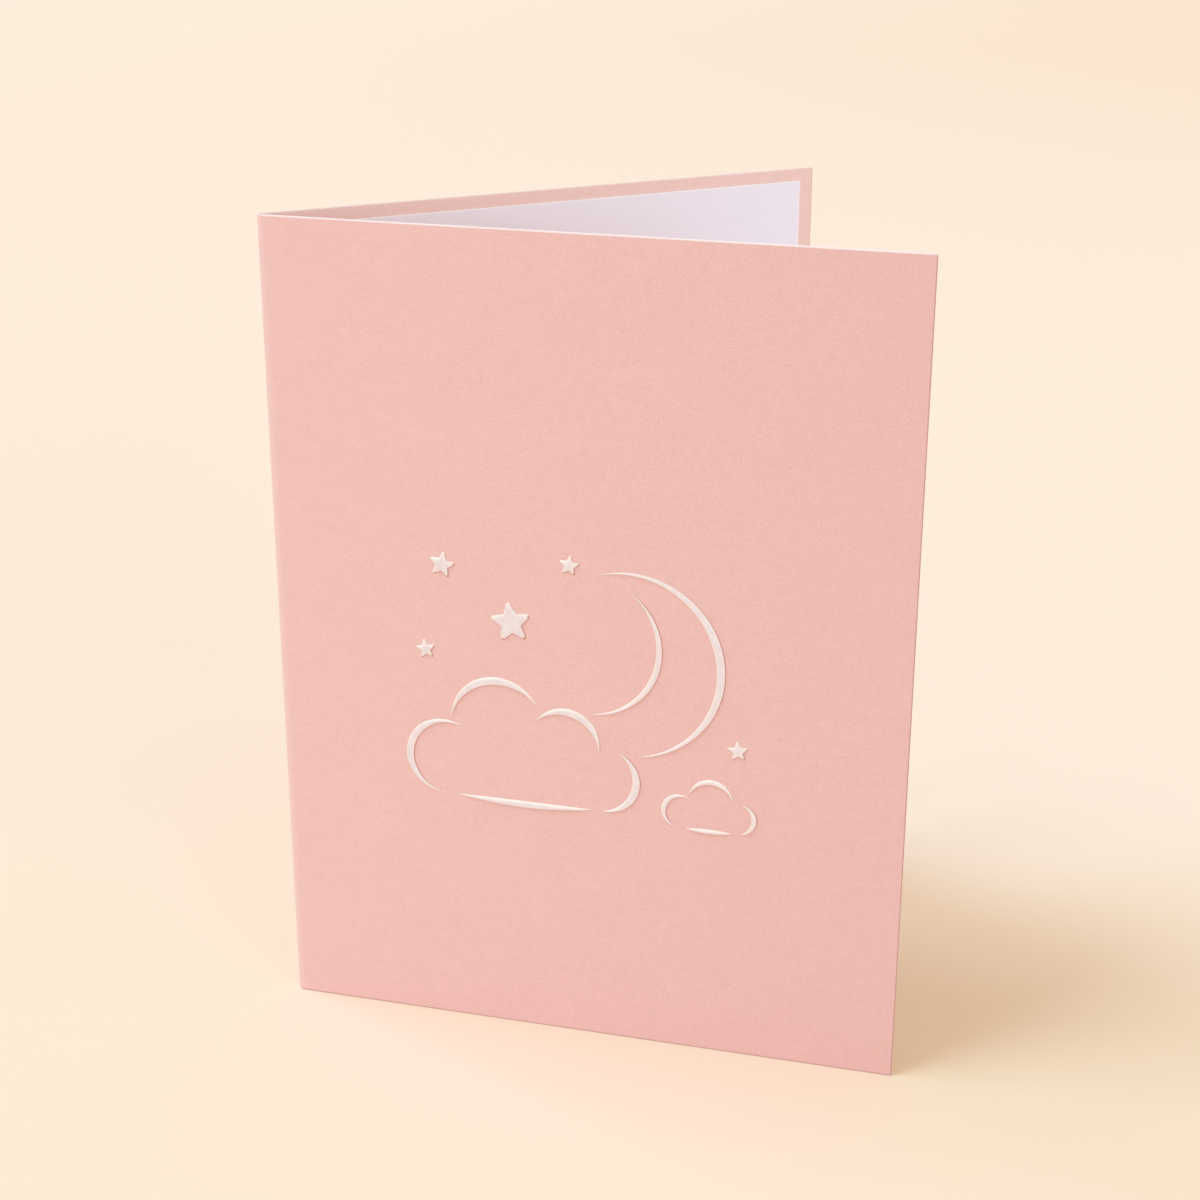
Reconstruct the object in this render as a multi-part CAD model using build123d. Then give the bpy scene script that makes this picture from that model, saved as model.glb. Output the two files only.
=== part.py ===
from build123d import *
from collections import namedtuple
import math
import os

# Folded sheet of card stock
panel_width = 107.95          # from the fold's outer line to the free edge, alike on both panels
panel_height = 139.7
sheet_thickness = 0.45
fold_outer_radius = 0.9
opening_angle = 46.0          # between the two panels as the card stands

# Writing paper glued to the inside of the back panel
insert_thickness = 0.2
insert_side_margin = 2.9      # pink border at the fold and at the free edge
insert_end_margin = 2.2       # pink border at the top and at the foot

# Raised print on the front panel
raised_height = 0.3
raised_bevel = 0.2            # how far a stroke's flat top stands in from its foot
ornament_from_fold = 52.0     # the ornament's centre, along the panel
ornament_from_foot = 64.0     # the ornament's centre, above the foot of the card

# The ornament's own sizes. Its places are along the panel and up it from the ornament's centre, and
# a line is a stroke's greatest width. Angles are in degrees, anticlockwise from the way along.

# Moon, in two contours
moon_along = 9.0
moon_up = 5.5
moon_radius = 16.0
moon_hollow_radius = 12.2
moon_thickness = 11.0         # widest part of the crescent
moon_tilt = 155.0             # the way its open side faces
moon_horn = 108.6             # the way to its upper horn
moon_end = -84.0              # where the outer contour goes behind the cloud
moon_hollow_end = -88.0
horn_gap = 5.4                # how far the hollow contour starts short of the horn, along it
moon_line = 1.6
moon_hollow_line = 1.2

# Cloud. Its lobes are placed from the left lobe's lowest point, and both end lobes stand on its foot.
cloud_along = -22.2
cloud_foot = -21.0
left_lobe_radius = 6.6
crown_lobe_radius = 8.2
crown_lobe_along = 9.1
crown_lobe_up = 13.2
shoulder_lobe_radius = 6.2
shoulder_lobe_along = 20.5
shoulder_lobe_up = 11.0
right_lobe_radius = 5.8
right_lobe_along = 27.4
cloud_line = 1.5
cloud_base_line = 1.3
cloud_base_gap = 1.6          # between the base line's tips and the end lobes' lowest points

# Small cloud, placed the same way
small_cloud_along = 18.6
small_cloud_foot = -22.3
small_left_lobe_radius = 2.9
small_crown_lobe_radius = 3.9
small_crown_lobe_along = 5.0
small_crown_lobe_up = 4.9
small_right_lobe_radius = 2.7
small_right_lobe_along = 9.8
small_cloud_line = 1.0
small_cloud_base_line = 0.9
small_cloud_base_gap = 0.9
base_sag = 0.025              # dip of a cloud's base line, over its length

# Stars. Each gap is from the moon's outer contour to the star's centre.
great_star_radius = 4.2
star_radius = 2.7
small_star_radius = 2.1
great_star_gap = 4.3
horn_star_gap = 3.0
far_star_gap = 18.5
low_star_gap = 7.0
star_points = 5
star_waist = 0.45             # inner corners' radius over the points' radius
star_rounding = 0.1           # rounding of a point, over the star's radius

Lobe = namedtuple("Lobe", "along up radius start end")      # start and end of its arc, as angles
Star = namedtuple("Star", "gap way radius turn")            # way is seen from the moon's centre
cloud_lobes = [
    Lobe(0, left_lobe_radius, left_lobe_radius, start=268, end=66),
    Lobe(crown_lobe_along, crown_lobe_up, crown_lobe_radius, start=178, end=30),
    Lobe(shoulder_lobe_along, shoulder_lobe_up, shoulder_lobe_radius, start=140, end=-8),
    Lobe(right_lobe_along, right_lobe_radius, right_lobe_radius, start=66, end=-92),
]
small_cloud_lobes = [
    Lobe(0, small_left_lobe_radius, small_left_lobe_radius, start=262, end=60),
    Lobe(small_crown_lobe_along, small_crown_lobe_up, small_crown_lobe_radius, start=165, end=8),
    Lobe(small_right_lobe_along, small_right_lobe_radius, small_right_lobe_radius, start=85, end=-82),
]
stars = [
    Star(great_star_gap, way=164, radius=great_star_radius, turn=8),
    Star(far_star_gap, way=155, radius=star_radius, turn=-10),
    Star(far_star_gap, way=181, radius=small_star_radius, turn=10),
    Star(horn_star_gap, way=120, radius=small_star_radius, turn=-6),
    Star(low_star_gap, way=-34, radius=small_star_radius, turn=5),
]

# Derived places
back_way = Vector(1, 0).rotate(Axis.Z, opening_angle)       # along the back panel, away from the fold
back_out = Vector(0, 1).rotate(Axis.Z, opening_angle)       # out of the back panel's outer face
fold_centre = Vector(fold_outer_radius, fold_outer_radius)
fold_inner_radius = fold_outer_radius - sheet_thickness
flat_length = panel_width - fold_outer_radius               # flat stretch of each panel
card_depth = (fold_centre + back_out * fold_outer_radius + back_way * flat_length).Y
moon_centre = Vector(moon_along, moon_up)

# The origin is on the foot's level, at the middle of the whole card's box.
to_origin = Pos(-panel_width / 2, -(card_depth - raised_height) / 2, 0)
ornament_plane = Plane(
    origin=(ornament_from_fold, 0, ornament_from_foot), x_dir=(1, 0, 0), z_dir=(0, -1, 0)
)


def back_panel_point(along, out):
    """Point of the section: along the back panel from the fold's centre, and out from that line."""
    return fold_centre + back_way * along + back_out * out


def folded_sheet():
    """Both panels and the rounded fold between them, as one sheet."""
    back_turn = 90 + opening_angle
    fold_turn = 270 - back_turn
    section = make_face([
        Line((panel_width, 0), (fold_outer_radius, 0)),
        CenterArc(fold_centre, fold_outer_radius, back_turn, fold_turn),
        Polyline(
            back_panel_point(0, fold_outer_radius), back_panel_point(flat_length, fold_outer_radius),
            back_panel_point(flat_length, fold_inner_radius), back_panel_point(0, fold_inner_radius),
        ),
        CenterArc(fold_centre, fold_inner_radius, back_turn, fold_turn),
        Polyline((fold_outer_radius, sheet_thickness), (panel_width, sheet_thickness), (panel_width, 0)),
    ])
    return extrude(section, panel_height)


def writing_paper():
    """Single leaf that lies face to face on the inside of the back panel."""
    near, far = insert_side_margin - fold_outer_radius, flat_length - insert_side_margin
    outer, inner = fold_inner_radius, fold_inner_radius - insert_thickness
    section = make_face(Polyline(
        back_panel_point(near, outer), back_panel_point(far, outer),
        back_panel_point(far, inner), back_panel_point(near, inner), close=True,
    ))
    return Pos(0, 0, insert_end_margin) * extrude(section, panel_height - 2 * insert_end_margin)


def lens(start, middle, end, width):
    """Flat outline between two arcs that meet in a point at both ends."""
    half = (end - start).normalized().rotate(Axis.Z, 90) * (width / 2)
    return make_face([ThreePointArc(start, middle + half, end), ThreePointArc(end, middle - half, start)])


def brush_stroke(start, middle, end, width):
    """Raised stroke, pointed at both ends, with bevelled sides that meet in a ridge at each tip."""
    bevel = min(raised_bevel, width / 4)
    tip_share = (1 - math.sqrt(1 - 2 * bevel / width)) / 2
    spine = ThreePointArc(start, middle, end)
    foot = lens(start, middle, end, width)
    top = lens(spine @ tip_share, middle, spine @ (1 - tip_share), width - 2 * bevel)
    return loft([foot, Pos(0, 0, raised_height) * top], ruled=True)


def polar(centre, radius, angle):
    """Point at a distance from a centre, in the way that an angle gives."""
    return centre + Vector(radius, 0).rotate(Axis.Z, angle)


def arc_stroke(centre, radius, start, end, width):
    """Brush stroke along an arc, from one angle to the other."""
    return brush_stroke(*(polar(centre, radius, turn) for turn in (start, (start + end) / 2, end)), width)


def moon():
    """Crescent in two contours, from its upper horn to where the cloud hides them."""
    hollow_shift = moon_thickness + moon_hollow_radius - moon_radius
    hollow_centre = polar(moon_centre, hollow_shift, moon_tilt)
    to_horn = polar(moon_centre, moon_radius, moon_horn) - hollow_centre
    hollow_start = math.degrees(math.atan2(to_horn.Y, to_horn.X) - horn_gap / moon_hollow_radius)
    return [
        arc_stroke(moon_centre, moon_radius, moon_horn, moon_end, moon_line),
        arc_stroke(hollow_centre, moon_hollow_radius, hollow_start, moon_hollow_end, moon_hollow_line),
    ]


def cloud(corner, lobes, line, base_line, base_gap):
    """Scalloped cloud: an arc for each lobe, and a shallow stroke along its foot."""
    strokes = [
        arc_stroke(corner + Vector(lobe.along, lobe.up), lobe.radius, lobe.start, lobe.end, line)
        for lobe in lobes
    ]
    left, right = corner + Vector(base_gap, 0), corner + Vector(lobes[-1].along - base_gap, 0)
    dip = Vector(0, (right - left).length * base_sag)
    return strokes + [brush_stroke(left, (left + right) / 2 - dip, right, base_line)]


def star_outline(radius):
    """Flat star with rounded points, one point straight up."""
    reaches = (radius, radius * star_waist)
    corners = [
        Vector(0, reaches[i % 2]).rotate(Axis.Z, 180 / star_points * i) for i in range(2 * star_points)
    ]
    outline = make_face(Polyline(*corners, close=True))
    points = [v for v in outline.vertices() if Vector(v).length > sum(reaches) / 2]
    return fillet(points, radius * star_rounding)


def raised_star(star):
    """Raised star with bevelled sides, turned about its own centre."""
    half_point = math.radians(180 / star_points)
    edge_share = math.sqrt(1 + star_waist**2 - 2 * star_waist * math.cos(half_point))
    edge_distance = star.radius * star_waist * math.sin(half_point) / edge_share
    bevel = min(raised_bevel, edge_distance / 2)
    foot = star_outline(star.radius)
    top = star_outline(star.radius * (1 - bevel / edge_distance))
    solid = loft([foot, Pos(0, 0, raised_height) * top], ruled=True)
    return Pos(polar(moon_centre, moon_radius + star.gap, star.way)) * Rot(0, 0, star.turn) * solid


def raised_ornament():
    """Moon, clouds and stars on the front panel's outer face. Strokes that touch become one."""
    corner = Vector(cloud_along, cloud_foot)
    small_corner = Vector(small_cloud_along, small_cloud_foot)
    motifs = [
        *moon(),
        *cloud(corner, cloud_lobes, cloud_line, cloud_base_line, cloud_base_gap),
        *cloud(
            small_corner, small_cloud_lobes, small_cloud_line, small_cloud_base_line, small_cloud_base_gap
        ),
        *(raised_star(star) for star in stars),
    ]
    joined = motifs[0].fuse(*motifs[1:])
    place = to_origin * ornament_plane.location
    return Compound(children=[place * solid for solid in joined.solids()])


os.makedirs("parts", exist_ok=True)
export_step(to_origin * folded_sheet(), "parts/card.step")
export_step(to_origin * writing_paper(), "parts/writing_insert.step")
export_step(raised_ornament(), "parts/raised_ornament.step")
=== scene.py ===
"""Looks of the greeting card: its paper, its raised print, and the studio that it stands in.

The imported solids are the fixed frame. Every length is in metres, and the card's own are written as a
number of millimetres.
"""

from __future__ import annotations

import logging
import math
from dataclasses import dataclass, field
from enum import Enum

import bmesh
import bpy
import numpy as np
from mathutils import Matrix, Vector


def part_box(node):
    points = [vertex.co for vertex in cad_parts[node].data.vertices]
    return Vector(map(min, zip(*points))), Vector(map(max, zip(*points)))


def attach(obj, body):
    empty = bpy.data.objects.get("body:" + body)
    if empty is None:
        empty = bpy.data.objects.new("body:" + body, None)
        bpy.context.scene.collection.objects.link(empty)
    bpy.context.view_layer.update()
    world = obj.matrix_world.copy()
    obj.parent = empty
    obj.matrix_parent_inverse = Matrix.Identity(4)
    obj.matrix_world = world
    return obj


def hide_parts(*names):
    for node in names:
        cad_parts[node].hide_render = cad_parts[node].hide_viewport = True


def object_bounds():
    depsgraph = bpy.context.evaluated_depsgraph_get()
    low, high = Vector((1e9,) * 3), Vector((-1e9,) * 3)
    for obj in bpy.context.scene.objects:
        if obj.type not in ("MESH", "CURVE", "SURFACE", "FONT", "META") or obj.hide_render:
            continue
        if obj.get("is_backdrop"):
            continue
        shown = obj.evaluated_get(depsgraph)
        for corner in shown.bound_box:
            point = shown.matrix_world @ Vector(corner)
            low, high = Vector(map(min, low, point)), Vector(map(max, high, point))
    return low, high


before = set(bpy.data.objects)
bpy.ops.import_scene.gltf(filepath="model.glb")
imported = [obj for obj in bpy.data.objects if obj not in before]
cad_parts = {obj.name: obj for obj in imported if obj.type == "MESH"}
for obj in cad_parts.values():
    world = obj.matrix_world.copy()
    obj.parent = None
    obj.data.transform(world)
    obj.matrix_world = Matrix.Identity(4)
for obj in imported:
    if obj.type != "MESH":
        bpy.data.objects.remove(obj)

MM = 0.001
HAIR = 0.001 * MM           # a width too small to see
SEAM = 0.0001 * MM          # points closer than this are one
ONE_BODY = "root"
PLACE = "paper_place"       # where a point lies on its sheet: along it, up it and through it

Colour = tuple[float, ...]
Faces = list[tuple[int, ...]]
Ring = list[Vector]
Socket = bpy.types.NodeSocket


def rgb(red: int, green: int, blue: int) -> Colour:
    """Turns a colour as seen on a screen into the shaders' linear one, by the sRGB rule.

    Args:
        red, green, blue: the colour's parts, from 0 to 255.

    Returns:
        The linear colour with full opacity.
    """
    parts = np.array((red, green, blue)) / 255
    linear = np.where(parts <= 0.04045, parts / 12.92, ((parts + 0.055) / 1.055) ** 2.4)
    return (*(float(part) for part in linear), 1.0)


class Zone(Enum):
    """Parts of a piece that its finish colours on their own, by the name of the mesh's numbers for them."""

    TOP_CUT = "top_cut"
    SIDE_CUT = "side_cut"
    INNER_FACE = "inner_face"
    FOLD = "painted_fold_highlight"
    FREE_SIDE = "free_side"
    PRINT_HIGHLIGHT = "painted_print_highlight"
    SHADOW_LINE = "painted_shadow_line"


class NodeBench:
    """Short calls that lay out one material's nodes."""

    def __init__(self, name: str) -> None:
        """Starts a material that holds only its shader.

        Args:
            name: the material's name.
        """
        self.material = bpy.data.materials.new(name)
        self.material.use_nodes = True
        self.tree = self.material.node_tree
        self.shader = self.tree.nodes["Principled BSDF"]

    def feed(self, socket: Socket, value: Socket | float | Colour) -> None:
        """Links a socket to another one, or sets its own value.

        Args:
            socket: the input.
            value: the output that it is linked to, or its plain value.
        """
        if isinstance(value, bpy.types.NodeSocket):
            self.tree.links.new(value, socket)
        else:
            socket.default_value = value

    def numbers(self, name: str) -> bpy.types.Node:
        """Reads numbers that the mesh holds for its points.

        Args:
            name: the numbers' name.

        Returns:
            The node that gives them.
        """
        node = self.tree.nodes.new("ShaderNodeAttribute")
        node.attribute_name = name
        return node

    def place(self) -> Socket:
        """Gives each point's place on its sheet, in metres."""
        return self.numbers(PLACE).outputs["Vector"]

    def amount(self, zone: Zone) -> Socket:
        """Gives how much each point belongs to a zone, from 0 to 1."""
        return self.numbers(zone.value).outputs["Fac"]

    def maths(
        self, operation: str, first: Socket | float, second: Socket | float, clamp: bool = False,
    ) -> Socket:
        """Joins two numbers.

        Args:
            operation: the Math node's operation.
            first, second: sockets or plain numbers.
            clamp: whether the result stays from 0 to 1.

        Returns:
            The result's socket.
        """
        node = self.tree.nodes.new("ShaderNodeMath")
        node.operation = operation
        node.use_clamp = clamp
        self.feed(node.inputs[0], first)
        self.feed(node.inputs[1], second)
        return node.outputs[0]

    def noise(self, grain: float, stretch: tuple[float, float] = (1.0, 0.0), detail: float = 2.0) -> Socket:
        """Lays a soft noise over the sheet.

        Args:
            grain: width of one fleck, in metres.
            stretch: how many times longer than wide a fleck is, and its turn on the sheet in degrees.
            detail: how many finer noises lie on top.

        Returns:
            The noise, from 0 to 1.
        """
        longer, turn = stretch
        turned = self.tree.nodes.new("ShaderNodeMapping")
        self.feed(turned.inputs["Vector"], self.place())
        turned.inputs["Rotation"].default_value = (0, 0, math.radians(turn))
        turned.inputs["Scale"].default_value = (1 / longer, 1, 1)
        node = self.tree.nodes.new("ShaderNodeTexNoise")
        self.feed(node.inputs["Vector"], turned.outputs["Vector"])
        node.inputs["Scale"].default_value = 1 / grain
        node.inputs["Detail"].default_value = detail
        return node.outputs["Fac"]

    def span(
        self, value: Socket, low: float, high: float, to_low: float = 0.0, to_high: float = 1.0,
    ) -> Socket:
        """Stretches a range of values over another one, and stops at its ends.

        Args:
            value: what is stretched.
            low, high: the range that is read.
            to_low, to_high: the range that comes out.

        Returns:
            The stretched value.
        """
        node = self.tree.nodes.new("ShaderNodeMapRange")
        self.feed(node.inputs["Value"], value)
        for name, number in zip(("From Min", "From Max", "To Min", "To Max"), (low, high, to_low, to_high)):
            node.inputs[name].default_value = number
        return node.outputs["Result"]

    def blend(self, share: Socket, first: Socket | Colour, second: Socket | Colour) -> Socket:
        """Mixes two colours.

        Args:
            share: how much of the second one.
            first, second: sockets or plain colours.

        Returns:
            The mixed colour.
        """
        node = self.tree.nodes.new("ShaderNodeMix")
        node.data_type = "RGBA"
        self.feed(node.inputs["Factor"], share)
        self.feed(node.inputs[6], first)
        self.feed(node.inputs[7], second)
        return node.outputs[2]

    def relief(self, height: Socket, depth: float, under: Socket | None = None) -> Socket:
        """Adds a relief to the surface.

        Args:
            height: the relief, from 0 to 1.
            depth: its depth, in metres.
            under: a coarser relief that this one lies on.

        Returns:
            The normal.
        """
        node = self.tree.nodes.new("ShaderNodeBump")
        node.inputs["Distance"].default_value = depth
        self.feed(node.inputs["Height"], height)
        if under is not None:
            self.feed(node.inputs["Normal"], under)
        return node.outputs["Normal"]


@dataclass(frozen=True)
class Tone:
    """The two colours that a surface wavers between."""

    light: Colour
    dark: Colour


@dataclass(frozen=True)
class Paper:
    """An uncoated paper with its fibres, flecks and cut edges."""

    name: str
    outer: Tone
    inner: Tone
    # painted edge colours: a highlight on the upper cut, and on the other cuts the shade or highlight that
    # each paper gets
    top_edge_highlight: Colour
    painted_side_edge: Colour
    # the colour of a painted highlight along a fold
    fold_highlight: Colour
    roughness: tuple[float, float]
    grain_depth: float
    fibre_depth: float
    grain: float = 0.27 * MM
    mottle: float = 1.6 * MM
    cloud: float = 11 * MM
    fibre: float = 0.09 * MM
    wave: float = 26 * MM
    wave_depth: float = 0.05 * MM
    noise_shares: tuple[float, float, float] = (0.72, 0.18, 0.1)    # what grain, mottle and cloud add
    tone_range: tuple[float, float] = (0.36, 0.64)      # of their sum, from the dark tone to the light one
    free_side_shade: float = 0.6              # painted shade: how much darker the tone is at the free side than at the fold
    fibre_turns: tuple[float, ...] = (12.0, 68.0, 131.0)            # the ways that fibres lie, in degrees
    fibre_stretch: float = 11.0     # how many times longer than wide a fibre is
    fibre_range: tuple[float, float] = (0.62, 0.74)     # of the fibres' noise, from none to a fibre
    fibre_share: float = 0.22       # how much lighter the tone is on a fibre
    grain_range: tuple[float, float] = (0.3, 0.7)       # of the grain, for ragged cuts and roughness
    ragged_share: tuple[float, float] = (0.75, 1.0)     # how much of a cut's colour shows, over the grain
    streak_stretch: tuple[float, float] = (9.0, 90.0)   # the same for a streak, and its turn in degrees
    streak_range: tuple[float, float] = (0.35, 0.7)     # of the streaks' noise
    streak_share: tuple[float, float] = (0.45, 0.85)    # how much of the painted highlight along the fold shows, over a streak
    specular: float = 0.35

    def material(self) -> bpy.types.Material:
        """Lays out the paper's nodes.

        Returns:
            The material.
        """
        bench = NodeBench(self.name)
        grain, mottle, cloud = (bench.noise(size) for size in (self.grain, self.mottle, self.cloud))
        fibres = self.fibres(bench)
        grain_share, mottle_share, cloud_share = self.noise_shares
        tone = bench.maths("MULTIPLY", grain, grain_share)
        for part, share in ((mottle, mottle_share), (cloud, cloud_share)):
            tone = bench.maths("ADD", tone, bench.maths("MULTIPLY", part, share))
        tone = bench.span(tone, *self.tone_range)
        tone = bench.maths("ADD", tone, bench.maths("MULTIPLY", fibres, self.fibre_share))
        # painted shade, darker towards each panel's free side and lighter towards the fold
        free_side_shade = bench.span(bench.amount(Zone.FREE_SIDE), 0, 1, self.free_side_shade / 2, -self.free_side_shade / 2)
        tone = bench.maths("ADD", tone, free_side_shade, clamp=True)
        outer, inner = (bench.blend(tone, face.dark, face.light) for face in (self.outer, self.inner))
        # on the card stock the inner face's paler tone is painted light, standing for light that reaches into
        # the card
        colour = bench.blend(bench.amount(Zone.INNER_FACE), outer, inner)
        ragged = bench.span(grain, *self.grain_range, *self.ragged_share)
        # painted highlight on the upper cut, where light falls from above, and painted colour on the other
        # cuts: shade on the card stock, highlight on the writing paper
        for cut, edge in ((Zone.TOP_CUT, self.top_edge_highlight), (Zone.SIDE_CUT, self.painted_side_edge)):
            colour = bench.blend(bench.maths("MULTIPLY", bench.amount(cut), ragged), colour, edge)
        streaks = bench.noise(self.fibre, self.streak_stretch)
        streaks = bench.span(streaks, *self.streak_range, *self.streak_share)
        # painted highlight: a lighter band along the fold, broken up by streaks
        colour = bench.blend(bench.maths("MULTIPLY", bench.amount(Zone.FOLD), streaks), colour, self.fold_highlight)
        bench.feed(bench.shader.inputs["Base Color"], colour)
        roughness = bench.span(grain, *self.grain_range, *self.roughness)
        bench.feed(bench.shader.inputs["Roughness"], roughness)
        normal = bench.relief(bench.noise(self.wave, detail=0.0), self.wave_depth)
        normal = bench.relief(mottle, self.grain_depth, normal)
        normal = bench.relief(grain, self.grain_depth, normal)
        normal = bench.relief(fibres, self.fibre_depth, normal)
        bench.feed(bench.shader.inputs["Normal"], normal)
        bench.shader.inputs["Specular IOR Level"].default_value = self.specular
        return bench.material

    def fibres(self, bench: NodeBench) -> Socket:
        """Strews short fibres that lie three ways over the sheet.

        Args:
            bench: where the nodes go.

        Returns:
            1 on a fibre, 0 beside it.
        """
        strewn = None
        for turn in self.fibre_turns:
            lying = bench.noise(self.fibre, (self.fibre_stretch, turn), detail=0.0)
            lying = bench.span(lying, *self.fibre_range)
            strewn = lying if strewn is None else bench.maths("MAXIMUM", strewn, lying)
        return strewn


@dataclass(frozen=True)
class SatinPrint:
    """The thick pale print of the raised strokes: satin, with a painted highlight down its sides, which are
    paler and creamier than its top.

    A thin darker line at its lower right foot stands for a close shadow, and stays the same in any light.
    """

    name: str = "raised_print"
    tone: Tone = Tone(light=rgb(242, 230, 233), dark=rgb(236, 221, 225))
    # painted highlight down the print's sides
    side: Colour = rgb(255, 242, 227)
    # the painted shadow line at the lower right foot
    painted_shadow_line: Colour = rgb(203, 142, 136)
    pool_range: tuple[float, float] = (0.35, 0.65)      # of the pools' noise, from the dark tone on
    grain_range: tuple[float, float] = (0.3, 0.7)       # of the grain, for the roughness
    roughness: tuple[float, float] = (0.28, 0.38)
    grain: float = 0.16 * MM
    pool: float = 1.4 * MM
    grain_depth: float = 0.004 * MM
    pool_depth: float = 0.02 * MM

    def material(self) -> bpy.types.Material:
        """Lays out the print's nodes.

        Returns:
            The material.
        """
        bench = NodeBench(self.name)
        grain, pool = bench.noise(self.grain), bench.noise(self.pool)
        colour = bench.blend(bench.span(pool, *self.pool_range), self.tone.dark, self.tone.light)
        # painted highlight on the sides of each motif
        colour = bench.blend(bench.amount(Zone.PRINT_HIGHLIGHT), colour, self.side)
        colour = bench.blend(bench.amount(Zone.SHADOW_LINE), colour, self.painted_shadow_line)
        bench.feed(bench.shader.inputs["Base Color"], colour)
        roughness = bench.span(grain, *self.grain_range, *self.roughness)
        bench.feed(bench.shader.inputs["Roughness"], roughness)
        normal = bench.relief(pool, self.pool_depth)
        bench.feed(bench.shader.inputs["Normal"], bench.relief(grain, self.grain_depth, normal))
        return bench.material


def grid_faces(number: np.ndarray) -> Faces:
    """Joins a grid of points into faces with four corners each, by the points' numbers."""
    quads = np.stack([number[:-1, :-1], number[1:, :-1], number[1:, 1:], number[:-1, 1:]], axis=-1)
    return [tuple(quad) for quad in quads.reshape(-1, 4).tolist()]


def new_piece(
    name: str, points: np.ndarray, faces: Faces, place: np.ndarray, zones: dict[Zone, np.ndarray],
    finish: bpy.types.Material,
) -> bpy.types.Object:
    """Makes a smooth closed piece with its numbers for the finish.

    Args:
        name: the piece's name.
        points: its corners, one row each, in metres.
        faces: the corners of each face, by number.
        place: each corner's place on its sheet, for the grain.
        zones: how much each corner belongs to a zone of the finish.
        finish: its material.

    Returns:
        The piece, linked into the scene.
    """
    mesh = bpy.data.meshes.new(name)
    mesh.from_pydata(points.tolist(), [], faces)
    places = mesh.attributes.new(PLACE, "FLOAT_VECTOR", "POINT")
    places.data.foreach_set("vector", place.astype(np.float32).ravel())
    for zone, amounts in zones.items():
        numbers = mesh.attributes.new(zone.value, "FLOAT", "POINT")
        numbers.data.foreach_set("value", amounts.astype(np.float32))
    shell = bmesh.new()
    shell.from_mesh(mesh)
    bmesh.ops.recalc_face_normals(shell, faces=shell.faces)
    shell.to_mesh(mesh)
    shell.free()
    mesh.polygons.foreach_set("use_smooth", [True] * len(mesh.polygons))
    mesh.materials.append(finish)
    mesh.update()
    piece = bpy.data.objects.new(name, mesh)
    bpy.context.scene.collection.objects.link(piece)
    return piece


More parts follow.
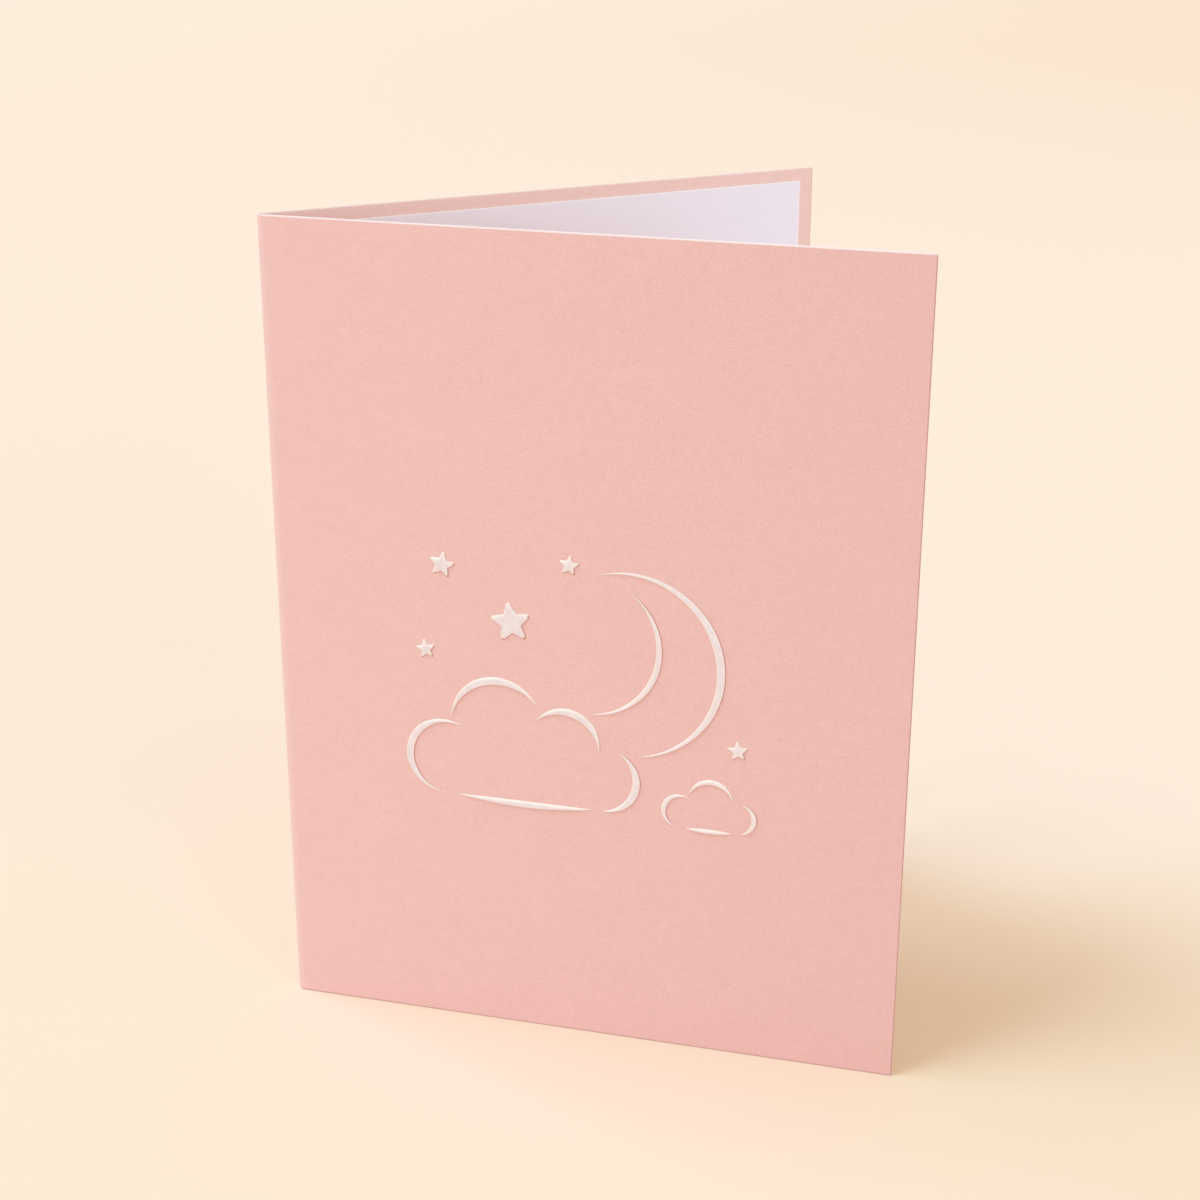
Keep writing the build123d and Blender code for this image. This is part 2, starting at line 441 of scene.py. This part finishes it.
@dataclass
class UprightSheet:
    """A thin sheet that stands on a line in plan, with softly rounded cut edges and corners."""

    length: float
    height: float
    foot: float
    thickness: float
    corner: Vector
    opening: float = 0.0                # between the card's panels, in radians
    edge_rounding: float = 0.15 * MM
    edge_steps: tuple[float, ...] = (0.0, 0.12, 0.35, 0.65, 1.0)    # points over an edge's rounding
    cut_reach: float = 0.28 * MM        # how far from the edge the upper cut's painted highlight reaches
    side_reach: float = 0.2 * MM        # how far the other cuts' painted colour does: shade on the card, highlight on the leaf
    corner_rounding: float = 0.3 * MM
    spacing: float = 2.0 * MM
    wall_rows: int = 4
    digits: int = 9                     # places are told apart to a nanometre

    def plan(self, along: np.ndarray, out: np.ndarray) -> tuple[np.ndarray, np.ndarray]:
        """Gives points of the plan.

        Args:
            along: distances along the sheet's middle line.
            out: distances from that line to the shown side.

        Returns:
            The points' x and y.
        """
        raise NotImplementedError

    def stations(self) -> np.ndarray:
        """Gives the distances along the sheet at which it has a column of points."""
        return self.steps(self.length, [])

    def steps(self, extent: float, extra: list[float]) -> np.ndarray:
        """Spaces points over an extent, close together at both of its ends.

        Args:
            extent: the length that is covered.
            extra: more places that get a point.

        Returns:
            The places, from 0 to the extent.
        """
        edge, corner, reach = self.edge_rounding, self.corner_rounding, self.cut_reach
        close = [share * edge for share in self.edge_steps]
        close += [(edge + corner) / 2, corner, reach / 2, reach]
        margin = max(corner, reach)
        inner = np.linspace(margin, extent - margin, 2 + round((extent - 2 * margin) / self.spacing))
        places = [*close, *inner, *extra, *(extent - gap for gap in close)]
        return np.unique(np.round(places, self.digits))

    def rounded(self, across: np.ndarray, up: np.ndarray) -> tuple[np.ndarray, np.ndarray, np.ndarray]:
        """Draws the sheet's square corners in to round ones.

        Args:
            across, up: places on the square sheet, from its lower left corner.

        Returns:
            The places on the rounded sheet, and each one's distance from the nearest cut.
        """
        reach = self.corner_rounding
        moved, over = [], []
        for place, extent in ((across, self.length), (up, self.height)):
            side = np.where(place < extent / 2, 0.0, extent)
            inward = np.abs(place - side)
            moved.append((side, np.sign(extent / 2 - side), inward))
            over.append(np.clip(reach - inward, 0, None))
        shrunk = [
            own * np.sqrt(1 - other**2 / (2 * reach**2)) for own, other in (over, over[::-1])
        ]
        inset = [
            np.where(own > 0, reach - new, inward)
            for own, new, (_, _, inward) in zip(over, shrunk, moved)
        ]
        both = (over[0] > 0) & (over[1] > 0)
        gap = np.where(both, reach - np.hypot(*shrunk), np.minimum(*inset))
        placed = [side + way * near for (side, way, _), near in zip(moved, inset)]
        return placed[0], placed[1], np.clip(gap, 0, None)

    def half(self, gap: np.ndarray) -> np.ndarray:
        """Gives half the sheet's thickness at a distance from its cut edge."""
        short = self.edge_rounding - np.clip(gap, 0, self.edge_rounding)
        return self.thickness / 2 - self.edge_rounding + np.sqrt(self.edge_rounding**2 - short**2)

    def fold_highlight_amount(self, along: np.ndarray) -> np.ndarray:
        """Gives how much each place shows the painted highlight along the fold."""
        return np.zeros_like(along)

    def far_side(self, along: np.ndarray) -> np.ndarray:
        """Gives how far each place lies towards a free side of a folded sheet."""
        return np.zeros_like(along)

    def cuts(self, along: np.ndarray, high: np.ndarray) -> tuple[np.ndarray, np.ndarray]:
        """Gives how much each place belongs to the upper cut and to the other ones.

        Each is full over the first half of its reach, and fades over the rest.

        Args:
            along, high: the places on the sheet.

        Returns:
            Both amounts.
        """
        to_side = np.minimum(np.minimum(along, self.length - along), high)
        reaches = ((self.height - high, self.cut_reach), (to_side, self.side_reach))
        top, side = (2 * (1 - np.clip(far / reach, 0.5, 1)) for far, reach in reaches)
        return top, side * (1 - top)

    def piece(self, name: str, finish: bpy.types.Material) -> bpy.types.Object:
        """Builds the sheet.

        Args:
            name: the piece's name.
            finish: its material.

        Returns:
            The piece, linked into the scene.
        """
        columns, rows = self.stations(), self.steps(self.height, [])
        across, up, gap = self.rounded(*np.meshgrid(columns, rows, indexing="ij"))
        number = np.arange(across.size).reshape(across.shape)
        rim = np.concatenate([number[:, 0], number[-1, 1:], number[-2::-1, -1], number[0, -2:0:-1]])
        flat = [values.ravel() for values in (across, up, gap)]
        half = self.half(flat[2])
        layers = [(flat, half), (flat, -half)]
        edge = [values[rim] for values in flat]
        for share in np.linspace(1, -1, self.wall_rows + 1)[1:-1]:
            layers.append((edge, half[rim] * share))
        along, high = (np.concatenate([values[i] for values, _ in layers]) for i in range(2))
        out = np.concatenate([offset for _, offset in layers])
        x, y = self.plan(along, out)
        top, side = self.cuts(along, high)
        zones = {
            Zone.TOP_CUT: top, Zone.SIDE_CUT: side, Zone.FOLD: self.fold_highlight_amount(along),
            Zone.INNER_FACE: np.clip(0.5 - out / self.thickness, 0, 1),
            Zone.FREE_SIDE: self.far_side(along),
        }
        points, place = np.stack([x, y, self.foot + high], axis=1), np.stack([along, high, out], axis=1)
        return new_piece(name, points, self.faces(number, rim), place, zones, finish)

    def faces(self, number: np.ndarray, rim: np.ndarray) -> Faces:
        """Joins the points into faces.

        Args:
            number: the points' numbers on the shown side, by column and row.
            rim: those of the cut edge, in order.

        Returns:
            The corners of each face.
        """
        rings = [rim]
        first = 2 * number.size
        for _ in range(self.wall_rows - 1):
            rings.append(np.arange(first, first + len(rim)))
            first += len(rim)
        rings.append(rim + number.size)
        faces = grid_faces(number)
        faces += [tuple(reversed(quad)) for quad in grid_faces(number + number.size)]
        for upper, lower in zip(rings, rings[1:]):
            ahead_upper, ahead_lower = np.roll(upper, -1), np.roll(lower, -1)
            wall = np.stack([upper, lower, ahead_lower, ahead_upper], axis=1)
            faces += [tuple(quad) for quad in wall.tolist()]
        return faces


@dataclass
class FoldedCard(UprightSheet):
    """The folded sheet of card stock: front panel, rounded fold and back panel."""

    panel: float = 0.0                  # the flat stretch of each panel
    fold_radius: float = 0.9 * MM
    fold_steps: int = 26
    fold_ease: tuple[float, ...] = (0.15 * MM, 0.4 * MM, 0.9 * MM)  # columns of points beside the fold
    # how far the painted highlight reaches from the fold
    fold_highlight_reach: float = 1.0 * MM
    back_highlight_dimming: float = 0.6               # how much weaker the painted highlight on the back panel's upper cut is

    @classmethod
    def from_frame(cls, node: str, thickness: float) -> FoldedCard:
        """Reads the card's size, place and opening from its solid.

        Args:
            node: the solid's name.
            thickness: the sheet's thickness.

        Returns:
            The card.
        """
        low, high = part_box(node)
        size = high - low
        card = cls(length=0, height=size.z, foot=low.z, thickness=thickness, corner=low)
        card.panel = size.x - card.fold_radius
        reach = math.hypot(card.panel, card.fold_radius)
        lean = math.atan2(card.fold_radius, card.panel)
        card.opening = math.asin((size.y - card.fold_radius) / reach) - lean
        card.length = 2 * card.panel + card.bend
        return card

    @property
    def middle_radius(self) -> float:
        """Radius of the sheet's middle line round the fold."""
        return self.fold_radius - self.thickness / 2

    @property
    def bend(self) -> float:
        """Length of the middle line round the fold."""
        return self.middle_radius * (math.pi - self.opening)

    def stations(self) -> np.ndarray:
        """Gives the distances at which the sheet has a column of points, closer round the fold.

        Returns:
            The distances along the middle line.
        """
        turns = np.linspace(self.panel, self.panel + self.bend, self.fold_steps + 1)
        ease = np.array(self.fold_ease)
        return self.steps(self.length, [*turns, *(turns[0] - ease), *(turns[-1] + ease)])

    def plan(self, along: np.ndarray, out: np.ndarray) -> tuple[np.ndarray, np.ndarray]:
        """Follows the front panel from its free edge, the fold, and the back panel.

        Args:
            along: distances along the sheet's middle line.
            out: distances from that line to the outer face.

        Returns:
            The points' x and y.
        """
        turned = np.clip(along - self.panel, 0, self.bend) / self.middle_radius
        before = np.clip(self.panel - along, 0, None)
        after = np.clip(along - self.panel - self.bend, 0, None)
        radius = self.middle_radius + out
        x = self.fold_radius - radius * np.sin(turned) + before + after * math.cos(self.opening)
        y = self.fold_radius - radius * np.cos(turned) + after * math.sin(self.opening)
        return self.corner.x + x, self.corner.y + y

    def fold_highlight_amount(self, along: np.ndarray) -> np.ndarray:
        """Gives how much each place shows the painted highlight along the fold."""
        off = np.abs(along - self.panel - self.bend / 2) - self.bend / 2
        return np.clip(1 - off / self.fold_highlight_reach, 0, 1) ** 2

    def far_side(self, along: np.ndarray) -> np.ndarray:
        """Gives how far each place lies from the fold towards its panel's free side."""
        return np.abs(2 * along / self.length - 1)

    def cuts(self, along: np.ndarray, high: np.ndarray) -> tuple[np.ndarray, np.ndarray]:
        """Gives the same amounts, with less painted highlight on the back panel's upper cut than on the front
        one's.

        Args:
            along, high: the places on the sheet.

        Returns:
            Both amounts.
        """
        top, side = super().cuts(along, high)
        behind = np.clip((along - self.panel - self.bend / 2) / self.bend, 0, 1)
        return top * (1 - self.back_highlight_dimming * behind), side


@dataclass
class WritingSheet(UprightSheet):
    """The leaf of writing paper on the inside of the card's back panel."""

    @classmethod
    def from_frame(cls, node: str, thickness: float, card: FoldedCard) -> WritingSheet:
        """Reads the leaf's size and place from its solid.

        Args:
            node: the solid's name.
            thickness: the leaf's thickness.
            card: the card that it lies in.

        Returns:
            The leaf.
        """
        low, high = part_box(node)
        run, rise = math.cos(card.opening), math.sin(card.opening)
        length = (high.x - low.x - thickness * rise) / run
        near = Vector((low.x + thickness * rise / 2, low.y + thickness * run / 2, low.z))
        return cls(
            length=length, height=high.z - low.z, foot=low.z, thickness=thickness, edge_rounding=0.09 * MM,
            cut_reach=0.24 * MM, side_reach=0.24 * MM, corner_rounding=0.15 * MM, wall_rows=2, corner=near,
            opening=card.opening,
        )

    def plan(self, along: np.ndarray, out: np.ndarray) -> tuple[np.ndarray, np.ndarray]:
        """Runs straight along the back panel, with the written side to the inside.

        Args:
            along: distances from the edge near the fold.
            out: distances from the middle line to the inside of the card.

        Returns:
            The points' x and y.
        """
        run, rise = math.cos(self.opening), math.sin(self.opening)
        return self.corner.x + along * run + out * rise, self.corner.y + along * rise - out * run


@dataclass(frozen=True)
class Arc:
    """A round line in the panel's plane."""

    centre: Vector
    radius: float
    start: float
    sweep: float

    @classmethod
    def through(cls, first: Vector, middle: Vector, last: Vector) -> Arc:
        """Draws the arc through three points.

        Args:
            first, middle, last: the points, in order.

        Returns:
            The arc from the first one to the last one.
        """
        rows = Matrix((middle - first, last - first))
        gaps = [(point.dot(point) - first.dot(first)) / 2 for point in (middle, last)]
        centre = rows.inverted() @ Vector(gaps)
        angles = [math.atan2(p.y - centre.y, p.x - centre.x) for p in (first, middle, last)]
        half = math.remainder(angles[1] - angles[0], math.tau)
        rest = math.remainder(angles[2] - angles[1], math.tau)
        return cls(centre, (first - centre).length, angles[0], half + rest)

    def points(self, count: int) -> np.ndarray:
        """Gives evenly spaced points of the arc.

        Args:
            count: how many.

        Returns:
            One row for each point.
        """
        turns = self.start + self.sweep * np.linspace(0, 1, count)
        return np.array(self.centre) + self.radius * np.stack([np.cos(turns), np.sin(turns)], axis=1)


@dataclass
class RaisedPrint:
    """Moon, clouds and stars in thick print, each on the outline of its solid."""

    node: str
    shoulder: float = 0.42 * MM             # from the outline to the full height
    # the painted shadow line along the lower right foot
    shadow_line_reach: float = 0.2 * MM
    shadow_line_share: float = 0.5            # the most of a narrow stroke's half that the line takes
    lower_right: tuple[float, float] = (0.7, -0.7)
    step: float = 0.16 * MM                 # between a stroke's rows of points
    least_rows: int = 12                    # in the shortest stroke
    side_rows: int = 11                     # from a stroke's outline to its middle
    star_rows: int = 16
    star_draw: float = 0.97                 # how far a star's rings draw in to its middle
    sharp: float = math.radians(60)         # a stroke's tip is a corner below this angle
    panel: float = field(init=False)
    height: float = field(init=False)
    points: list[np.ndarray] = field(default_factory=list)
    zones: dict[Zone, list[np.ndarray]] = field(default_factory=dict)
    faces: Faces = field(default_factory=list)

    def __post_init__(self) -> None:
        """Reads the print's foot and height from its solid."""
        low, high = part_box(self.node)
        self.panel, self.height = high.y, high.y - low.y
        self.zones = {Zone.PRINT_HIGHLIGHT: [], Zone.SHADOW_LINE: []}

    def outlines(self) -> list[Ring]:
        """Reads each motif's foot on the panel.

        Returns:
            A closed ring for each motif, as x and z in the panel's plane.
        """
        solid = bmesh.new()
        solid.from_mesh(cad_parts[self.node].data)
        bmesh.ops.remove_doubles(solid, verts=solid.verts, dist=SEAM)
        raised = [f for f in solid.faces if any(self.panel - v.co.y > HAIR for v in f.verts)]
        bmesh.ops.delete(solid, geom=raised, context="FACES")
        left = dict.fromkeys(edge for edge in solid.edges if edge.is_boundary)     # keeps their order
        rings = []
        while left:
            edge, _ = left.popitem()
            start, corner = edge.verts
            ring = [start.co.xz]
            while corner is not start:
                ring.append(corner.co.xz)
                edge = next(e for e in corner.link_edges if e in left)
                del left[edge]
                corner = edge.other_vert(corner)
            rings.append(ring)
        solid.free()
        return rings

    def add(
        self, flat: np.ndarray, inward: np.ndarray, half: np.ndarray, facing: np.ndarray, faces: Faces,
    ) -> None:
        """Adds a motif, which swells to a round shoulder, or to its middle where it is narrow.

        Args:
            flat: the points' x and z, one row each.
            inward: how far each lies inside the outline.
            half: half the motif's width there.
            facing: the way out of the motif's nearest side, one row each.
            faces: their faces, numbered from the motif's first point.
        """
        first = sum(len(part) for part in self.points)
        shoulder = np.clip(half, HAIR, self.shoulder)
        climb = np.clip(inward / shoulder, 0, 1)
        top = self.height * np.sin(np.pi / 2 * shoulder / self.shoulder)
        risen = top * np.sin(np.pi / 2 * climb)
        reach = np.minimum(self.shadow_line_reach, self.shadow_line_share * shoulder)
        # painted shadow: a darker line along the foot on each motif's lower right side
        lower_right = np.clip(0.5 + facing @ np.array(self.lower_right), 0, 1)
        self.points.append(np.stack([flat[:, 0], self.panel - risen, flat[:, 1]], axis=1))
        # the painted highlight covers each motif's sloping side
        self.zones[Zone.PRINT_HIGHLIGHT].append(1 - climb)
        self.zones[Zone.SHADOW_LINE].append(lower_right * (1 - np.clip(2 * inward / reach - 1, 0, 1)))
        self.faces += [tuple(first + corner for corner in face) for face in faces]

    def stroke(self, ring: Ring, tips: list[int]) -> None:
        """Builds a brush stroke between the two round edges that meet in its tips.

        Args:
            ring: the stroke's foot.
            tips: the numbers of its two tips in the ring.
        """
        first, second = tips
        near, far = ring[first:second + 1], ring[second:] + ring[:first + 1]
        edges = [Arc.through(side[0], side[len(side) // 2], side[-1]) for side in (near, far[::-1])]
        longest = max(arc.radius * abs(arc.sweep) for arc in edges)
        rows = max(self.least_rows, round(longest / self.step))
        left, right = (arc.points(rows + 1) for arc in edges)
        sides = np.linspace(-1, 1, 2 * self.side_rows + 1)
        across = (1 + np.sign(sides) * (1 - (1 - np.abs(sides)) ** 2)) / 2
        flat = left[1:-1, None] * (1 - across[:, None]) + right[1:-1, None] * across[:, None]
        gap = (right - left)[1:-1]
        wide = np.linalg.norm(gap, axis=1)[:, None]
        inward = wide * np.minimum(across, 1 - across)
        facing = (gap / wide)[:, None] * np.sign(sides)[:, None]
        width = len(across)
        number = np.arange((rows - 1) * width).reshape(rows - 1, width)
        tail, head = number.size, number.size + 1
        foot = np.stack([number[:-1, 0], number[:-1, -1], number[1:, -1], number[1:, 0]], axis=-1)
        faces = grid_faces(number) + [tuple(quad) for quad in foot.tolist()]
        for tip, row in ((tail, number[0]), (head, number[-1])):
            faces += [(tip, a, b) for a, b in zip(row.tolist(), row[1:].tolist())]
            faces.append((tip, int(row[-1]), int(row[0])))
        tips_at, at_tips = (left[:1], left[-1:]), np.zeros(2)
        half = np.broadcast_to(wide / 2, inward.shape)
        self.add(
            np.concatenate([flat.reshape(-1, 2), *tips_at]), np.concatenate([inward.ravel(), at_tips]),
            np.concatenate([half.ravel(), at_tips]),
            np.concatenate([facing.reshape(-1, 2), np.zeros((2, 2))]), faces,
        )

    def star(self, ring: Ring) -> None:
        """Builds a star in rings that draw in evenly from its outline.

        Args:
            ring: the star's foot.
        """
        foot = np.array(ring)
        middle = foot.mean(axis=0)
        arms = foot - middle
        ahead = np.roll(arms, -1, axis=0)
        lengths = np.linalg.norm(ahead - arms, axis=1)
        turning = arms[:, 0] * ahead[:, 1] - arms[:, 1] * ahead[:, 0]
        reach = np.min(np.abs(turning) / lengths)
        edges = (ahead - arms) / lengths[:, None] * np.sign(turning)[:, None]
        facing = np.stack([edges[:, 1], -edges[:, 0]], axis=1)
        facing = facing + np.roll(facing, 1, axis=0)
        facing /= np.linalg.norm(facing, axis=1)[:, None]
        inward = reach * np.linspace(0, self.star_draw, self.star_rows) ** 2
        flat = middle + arms[None] * (1 - inward / reach)[:, None, None]
        count = len(foot)
        number = np.arange(self.star_rows * count).reshape(self.star_rows, count)
        turned = np.roll(number, -1, axis=1)
        quads = np.stack([number[:-1], turned[:-1], turned[1:], number[1:]], -1).reshape(-1, 4)
        faces = [tuple(quad) for quad in quads.tolist()]
        faces += [tuple(number[-1].tolist()), tuple(reversed(number[0].tolist()))]
        half, facing = np.full(number.size, reach), np.tile(facing, (self.star_rows, 1))
        self.add(flat.reshape(-1, 2), np.repeat(inward, count), half, facing, faces)

    def piece(self, name: str, finish: bpy.types.Material) -> bpy.types.Object:
        """Builds every motif into one piece.

        Args:
            name: the piece's name.
            finish: its material.

        Returns:
            The piece, linked into the scene.
        """
        for ring in self.outlines():
            corners = enumerate(zip(ring, ring[-1:] + ring[:-1], ring[1:] + ring[:1]))
            tips = [i for i, (p, before, after) in corners if (before - p).angle(after - p) < self.sharp]
            if len(tips) == 2:
                self.stroke(ring, tips)
            else:
                self.star(ring)
        points = np.concatenate(self.points)
        zones = {zone: np.concatenate(parts) for zone, parts in self.zones.items()}
        return new_piece(name, points, self.faces, points[:, [0, 2, 1]], zones, finish)


@dataclass(frozen=True)
class SoftLamp:
    """A far soft lamp, which lights the whole floor alike."""

    name: str
    travel: float           # the way its light goes in plan, in degrees from the way along the front panel
    elevation: float        # how high it stands, in degrees
    spread: float           # how wide it is, in degrees
    strength: float         # 1 lights a surface that faces it at full brightness
    colour: tuple[float, float, float]

    def hang(self) -> None:
        """Hangs the lamp."""
        travel, elevation = math.radians(self.travel), math.radians(self.elevation)
        flat = math.cos(elevation)
        way = Vector((-math.cos(travel) * flat, -math.sin(travel) * flat, math.sin(elevation)))
        lamp = bpy.data.lights.new(self.name, "SUN")
        lamp.angle = math.radians(self.spread)
        lamp.energy = math.pi * self.strength
        lamp.color = self.colour
        holder = bpy.data.objects.new(self.name, lamp)
        holder.location = way
        holder.rotation_euler = way.to_track_quat("Z", "Y").to_euler()
        bpy.context.scene.collection.objects.link(holder)


@dataclass
class Studio:
    """Pale floor, soft lamps with an even fill, and the camera."""

    floor_radius: float = 8.0
    floor_corners: int = 96
    floor_colour: Colour = rgb(252, 233, 216)
    floor_roughness: float = 0.9
    floor_specular: float = 0.1
    # painted warm light bounced off the card onto the floor near it
    painted_bounce_colour: Colour = rgb(251, 232, 210)
    near_floor_back: tuple[float, float] = (0.08, -0.04)        # its tone's far end over y, from none to full
    near_floor_front: tuple[float, float] = (-0.7, -0.2)        # its near end
    # painted shade: the floor darker and warmer far behind, towards the right
    far_floor_shade: Colour = rgb(248, 224, 202)
    far_floor_across: tuple[float, float] = (-0.9, 0.2)         # its tone over x, from none to full
    far_floor_back: tuple[float, float] = (0.5, 1.8)            # and over y
    backdrop_colour: Colour = rgb(255, 241, 224)
    fill_colour: Colour = (1.0, 0.835, 0.61, 1.0)
    fill_strength: float = 0.738
    lamps: tuple[SoftLamp, ...] = (
        SoftLamp("side_lamp", travel=-2, elevation=38, spread=42, strength=0.48, colour=(0.36, 0.62, 1.0)),
        SoftLamp("front_lamp", travel=40, elevation=60, spread=20, strength=0.27, colour=(0.65, 0.89, 1.0)),
        SoftLamp("right_lamp", travel=140, elevation=3, spread=40, strength=0.52, colour=(0.41, 0.66, 1.0)),
    )
    camera_azimuth: float = 13.931
    camera_elevation: float = 20.347
    camera_roll: float = 0.75
    camera_distance: float = 376.82 * MM
    camera_lens: float = 62.58
    camera_shift: tuple[float, float] = (-0.0558, 0.0083)
    camera_clip: tuple[float, float] = (10 * MM, 24.0)
    aim_offset: tuple[float, float, float] = (4.29, -0.65, -4.49)      # from the box's middle, in mm

    def floor(self) -> None:
        """Lays the round floor that the card stands on, with a painted warm glow of light bounced off the
        card near it, and painted shade far behind on the right.
        """
        turns = np.linspace(0, math.tau, self.floor_corners, endpoint=False)
        rim = np.stack([np.cos(turns), np.sin(turns), np.zeros_like(turns)], axis=1) * self.floor_radius
        mesh = bpy.data.meshes.new("floor")
        mesh.from_pydata(rim.tolist(), [], [tuple(range(self.floor_corners))])
        bench = NodeBench("floor_paper")
        spot = bench.tree.nodes.new("ShaderNodeSeparateXYZ")
        bench.feed(spot.inputs["Vector"], bench.tree.nodes.new("ShaderNodeTexCoord").outputs["Object"])
        x, y = spot.outputs["X"], spot.outputs["Y"]
        far = [bench.span(x, *self.far_floor_across), bench.span(y, *self.far_floor_back)]
        near = [bench.span(y, *self.near_floor_back), bench.span(y, *self.near_floor_front)]
        colour = self.floor_colour
        for spans, tone in ((far, self.far_floor_shade), (near, self.painted_bounce_colour)):
            colour = bench.blend(bench.maths("MULTIPLY", *spans), colour, tone)
        bench.feed(bench.shader.inputs["Base Color"], colour)
        bench.shader.inputs["Roughness"].default_value = self.floor_roughness
        bench.shader.inputs["Specular IOR Level"].default_value = self.floor_specular
        mesh.materials.append(bench.material)
        floor = bpy.data.objects.new("floor", mesh)
        bpy.context.scene.collection.objects.link(floor)
        floor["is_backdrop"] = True

    def world(self) -> None:
        """Fills the studio with even warm light, and shows a pale backdrop to the camera and in gloss."""
        world = bpy.data.worlds.new("studio")
        world.use_nodes = True
        bpy.context.scene.world = world
        nodes, links = world.node_tree.nodes, world.node_tree.links
        nodes.clear()
        ray, shown, light, backdrop, mix, out = (
            nodes.new(kind) for kind in (
                "ShaderNodeLightPath", "ShaderNodeMath", "ShaderNodeBackground", "ShaderNodeBackground",
                "ShaderNodeMixShader", "ShaderNodeOutputWorld",
            )
        )
        shown.operation = "MAXIMUM"
        light.inputs["Color"].default_value = self.fill_colour
        light.inputs["Strength"].default_value = self.fill_strength
        backdrop.inputs["Color"].default_value = self.backdrop_colour
        links.new(ray.outputs["Is Camera Ray"], shown.inputs[0])
        links.new(ray.outputs["Is Glossy Ray"], shown.inputs[1])
        links.new(shown.outputs[0], mix.inputs[0])
        links.new(light.outputs[0], mix.inputs[1])
        links.new(backdrop.outputs[0], mix.inputs[2])
        links.new(mix.outputs[0], out.inputs["Surface"])

    def camera(self, box: tuple[Vector, Vector]) -> None:
        """Sets the camera up.

        Args:
            box: the card's lowest and highest corner.
        """
        azimuth, elevation = math.radians(self.camera_azimuth), math.radians(self.camera_elevation)
        flat = math.cos(elevation)
        way = Vector((math.sin(azimuth) * flat, -math.cos(azimuth) * flat, math.sin(elevation)))
        lens = bpy.data.cameras.new("camera")
        lens.lens = self.camera_lens
        lens.shift_x, lens.shift_y = self.camera_shift
        lens.clip_start, lens.clip_end = self.camera_clip
        holder = bpy.data.objects.new("camera", lens)
        holder.location = (box[0] + box[1]) / 2 + Vector(self.aim_offset) * MM + way * self.camera_distance
        roll = Matrix.Rotation(math.radians(self.camera_roll), 3, "Z")
        holder.rotation_euler = (way.to_track_quat("Z", "Y").to_matrix() @ roll).to_euler()
        bpy.context.scene.collection.objects.link(holder)
        bpy.context.scene.camera = holder

    def build(self, box: tuple[Vector, Vector]) -> None:
        """Builds floor, light and camera.

        Args:
            box: the card's lowest and highest corner.
        """
        self.floor()
        self.world()
        for lamp in self.lamps:
            lamp.hang()
        self.camera(box)
        bpy.context.scene.view_settings.view_transform = "Standard"


CARD_STOCK = Paper(
    name="card_stock",
    outer=Tone(light=rgb(244, 200, 197), dark=rgb(234, 188, 185)),
    # paler than the outer tone: painted light on the inner faces
    inner=Tone(light=rgb(249, 217, 212), dark=rgb(244, 209, 204)),
    # the upper cut's paler colour is a painted highlight, and the other cuts' darker one is painted shade
    top_edge_highlight=rgb(255, 242, 240),
    painted_side_edge=rgb(203, 149, 142),
    # painted highlight along the fold
    fold_highlight=rgb(246, 210, 208),
    roughness=(0.72, 0.88),
    grain_depth=0.021 * MM,
    fibre_depth=0.012 * MM,
)
LEAF_TONE = Tone(light=rgb(245, 242, 255), dark=rgb(242, 238, 254))
# the writing paper's cut edges, whiter than its face, are a painted highlight
LEAF_EDGE_HIGHLIGHT = rgb(255, 254, 255)
WRITING_PAPER = Paper(
    name="writing_paper",
    outer=LEAF_TONE,
    inner=LEAF_TONE,
    top_edge_highlight=LEAF_EDGE_HIGHLIGHT,
    painted_side_edge=LEAF_EDGE_HIGHLIGHT,
    fold_highlight=LEAF_EDGE_HIGHLIGHT,
    roughness=(0.62, 0.8),
    grain_depth=0.006 * MM,
    fibre_depth=0.006 * MM,
)


def seat(piece: bpy.types.Object, node: str) -> None:
    """Puts a piece in the place of its solid and reports it.

    Args:
        piece: the piece.
        node: the solid that it stands for.
    """
    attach(piece, ONE_BODY)
    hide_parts(node)
    logging.info("%s: %d faces", piece.name, len(piece.data.polygons))


def main() -> None:
    """Builds every piece and the studio."""
    logging.basicConfig(level=logging.INFO, format="%(message)s")
    solid_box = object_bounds()
    card = FoldedCard.from_frame("card", thickness=0.45 * MM)
    seat(card.piece("folded_card", CARD_STOCK.material()), "card")
    leaf = WritingSheet.from_frame("writing_insert", 0.2 * MM, card)
    seat(leaf.piece("writing_sheet", WRITING_PAPER.material()), "writing_insert")
    motifs = RaisedPrint("raised_ornament")
    seat(motifs.piece("raised_motifs", SatinPrint().material()), "raised_ornament")
    Studio().build(solid_box)


if __name__ == "__main__":
    main()
